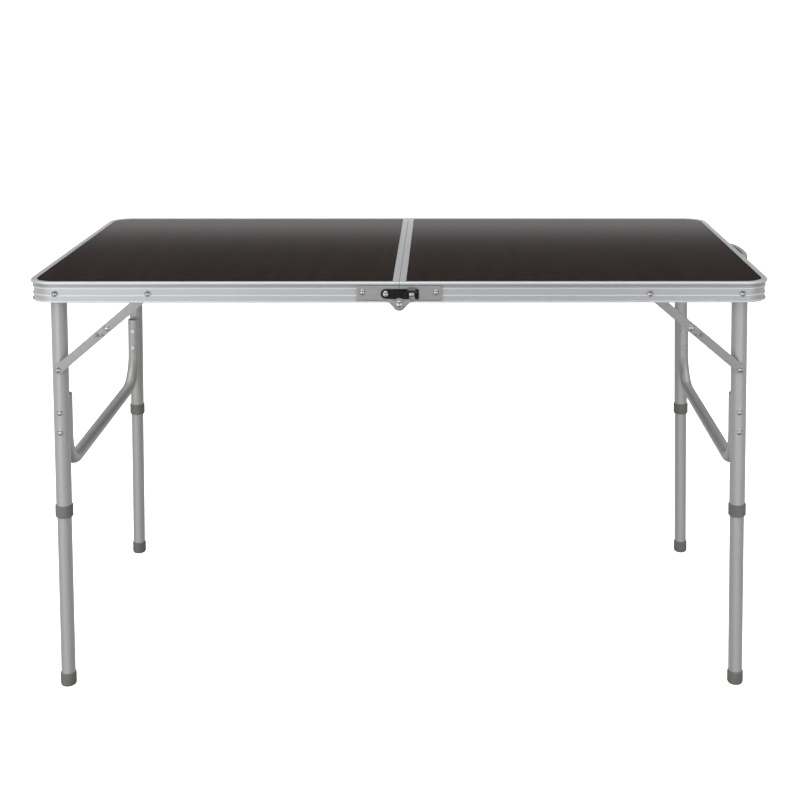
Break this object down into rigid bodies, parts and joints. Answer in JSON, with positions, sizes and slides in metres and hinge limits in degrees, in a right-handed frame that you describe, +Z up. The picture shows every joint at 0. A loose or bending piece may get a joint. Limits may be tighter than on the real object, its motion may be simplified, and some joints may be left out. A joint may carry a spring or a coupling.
{
  "type": "folding picnic table",
  "caption": "Folding picnic table whose hinged top halves close like a case, with folding leg frames, locking stays and telescopic lower legs.",
  "frame": {"origin": "on the floor, below the middle of the overall box", "axes": "+X along the table from the plain end to the handle end, +Y across it from the front rail to the rear rail, +Z up"},
  "size_m": [1.2196, 0.6126, 0.715],
  "materials": {
    "rim_aluminium": "satin",
    "tube_aluminium": "satin",
    "pressed_steel": "satin",
    "rivet": "gloss",
    "hook_black": "satin",
    "board": "satin dark wood-grain laminate",
    "grey_plastic": "matte",
    "handle_plastic": "matte"
  },
  "bodies": {
    "left_half": {"left_rim": "rim_aluminium", "left_centre_rail": "rim_aluminium", "left_panel": "board", "front_left_hinge_plate": "pressed_steel", "left_front_leg_pivot": "rivet", "left_front_stay_rail_pivot": "rivet", "rear_left_hinge_plate": "pressed_steel", "left_rear_leg_pivot": "rivet", "left_rear_stay_rail_pivot": "rivet", "front_hinge_pin": "rivet", "front_hook_pivot": "rivet", "rear_hook_stud": "rivet"},
    "right_half": {"right_rim": "rim_aluminium", "right_centre_rail": "rim_aluminium", "right_panel": "board", "front_right_hinge_plate": "pressed_steel", "right_front_leg_pivot": "rivet", "right_front_stay_rail_pivot": "rivet", "rear_right_hinge_plate": "pressed_steel", "right_rear_leg_pivot": "rivet", "right_rear_stay_rail_pivot": "rivet", "rear_hinge_pin": "rivet", "rear_hook_pivot": "rivet", "front_hook_stud": "rivet", "carry_handle": "handle_plastic"},
    "front_hook": {"front_hook": "hook_black"},
    "rear_hook": {"rear_hook": "hook_black"},
    "left_leg_frame": {"left_crossbar": "tube_aluminium", "left_front_upper_tube": "tube_aluminium", "left_front_collar": "grey_plastic", "left_front_stay_leg_pivot": "rivet", "left_rear_upper_tube": "tube_aluminium", "left_rear_collar": "grey_plastic", "left_rear_stay_leg_pivot": "rivet"},
    "left_stay_upper": {"left_front_stay_upper_link": "pressed_steel", "left_rear_stay_upper_link": "pressed_steel"},
    "left_stay_lower": {"left_front_stay_lower_link": "pressed_steel", "left_rear_stay_lower_link": "pressed_steel"},
    "left_front_lower_leg": {"left_front_lower_tube": "tube_aluminium", "left_front_foot": "grey_plastic"},
    "left_rear_lower_leg": {"left_rear_lower_tube": "tube_aluminium", "left_rear_foot": "grey_plastic"},
    "right_leg_frame": {"right_crossbar": "tube_aluminium", "right_front_upper_tube": "tube_aluminium", "right_front_collar": "grey_plastic", "right_front_stay_leg_pivot": "rivet", "right_rear_upper_tube": "tube_aluminium", "right_rear_collar": "grey_plastic", "right_rear_stay_leg_pivot": "rivet"},
    "right_stay_upper": {"right_front_stay_upper_link": "pressed_steel", "right_rear_stay_upper_link": "pressed_steel"},
    "right_stay_lower": {"right_front_stay_lower_link": "pressed_steel", "right_rear_stay_lower_link": "pressed_steel"},
    "right_front_lower_leg": {"right_front_lower_tube": "tube_aluminium", "right_front_foot": "grey_plastic"},
    "right_rear_lower_leg": {"right_rear_lower_tube": "tube_aluminium", "right_rear_foot": "grey_plastic"}
  },
  "joints": [
    {"name": "centre_fold", "type": "hinge", "parent": "left_half", "child": "right_half", "pos_m": [-0.00985, 0, 0.68], "axis": [0, 1, 0], "range_deg": [0, 75]},
    {"name": "front_hook_swing", "type": "hinge", "parent": "left_half", "child": "front_hook", "pos_m": [-0.03185, -0.3, 0.6963], "axis": [0, -1, 0], "range_deg": [0, 90.5]},
    {"name": "rear_hook_swing", "type": "hinge", "parent": "right_half", "child": "rear_hook", "pos_m": [0.01215, 0.3, 0.6963], "axis": [0, 1, 0], "range_deg": [0, 90.5]},
    {"name": "left_leg_fold", "type": "hinge", "parent": "left_half", "child": "left_leg_frame", "pos_m": [-0.56255, 0, 0.69565], "axis": [0, -1, 0], "range_deg": [0, 91.8]},
    {"name": "left_stay_upper_fold", "type": "hinge", "parent": "left_half", "child": "left_stay_upper", "pos_m": [-0.41365, 0, 0.69565], "axis": [0, -1, 0], "range_deg": [0, 140.5]},
    {"name": "left_stay_lower_fold", "type": "hinge", "parent": "left_leg_frame", "child": "left_stay_lower", "pos_m": [-0.56671, 0, 0.56672], "axis": [0, 1, 0], "range_deg": [0, 132.5]},
    {"name": "left_front_leg_slide", "type": "slide", "parent": "left_leg_frame", "child": "left_front_lower_leg", "axis": [0.0323, 0, 0.9995], "range_m": [0, 0.1655]},
    {"name": "left_rear_leg_slide", "type": "slide", "parent": "left_leg_frame", "child": "left_rear_lower_leg", "axis": [0.0323, 0, 0.9995], "range_m": [0, 0.1655]},
    {"name": "right_leg_fold", "type": "hinge", "parent": "right_half", "child": "right_leg_frame", "pos_m": [0.54285, 0, 0.69565], "axis": [0, 1, 0], "range_deg": [0, 91.8]},
    {"name": "right_stay_upper_fold", "type": "hinge", "parent": "right_half", "child": "right_stay_upper", "pos_m": [0.39395, 0, 0.69565], "axis": [0, 1, 0], "range_deg": [0, 140.5]},
    {"name": "right_stay_lower_fold", "type": "hinge", "parent": "right_leg_frame", "child": "right_stay_lower", "pos_m": [0.54702, 0, 0.56672], "axis": [0, -1, 0], "range_deg": [0, 132.5]},
    {"name": "right_front_leg_slide", "type": "slide", "parent": "right_leg_frame", "child": "right_front_lower_leg", "axis": [-0.0323, 0, 0.9995], "range_m": [0, 0.1655]},
    {"name": "right_rear_leg_slide", "type": "slide", "parent": "right_leg_frame", "child": "right_rear_lower_leg", "axis": [-0.0323, 0, 0.9995], "range_m": [0, 0.1655]}
  ],
  "couplings": [
    {"joint": "front_hook_swing", "follows": "centre_fold", "ratio": 1.2},
    {"joint": "rear_hook_swing", "follows": "centre_fold", "ratio": 1.2},
    {"joint": "left_stay_upper_fold", "follows": "left_leg_fold", "ratio": 1.523},
    {"joint": "left_stay_lower_fold", "follows": "left_leg_fold", "ratio": 1.4367},
    {"joint": "left_front_leg_slide", "follows": "left_leg_fold", "m_per_rad": 0.10293},
    {"joint": "left_rear_leg_slide", "follows": "left_leg_fold", "m_per_rad": 0.10293},
    {"joint": "right_stay_upper_fold", "follows": "right_leg_fold", "ratio": 1.523},
    {"joint": "right_stay_lower_fold", "follows": "right_leg_fold", "ratio": 1.4367},
    {"joint": "right_front_leg_slide", "follows": "right_leg_fold", "m_per_rad": 0.10293},
    {"joint": "right_rear_leg_slide", "follows": "right_leg_fold", "m_per_rad": 0.10293}
  ]
}
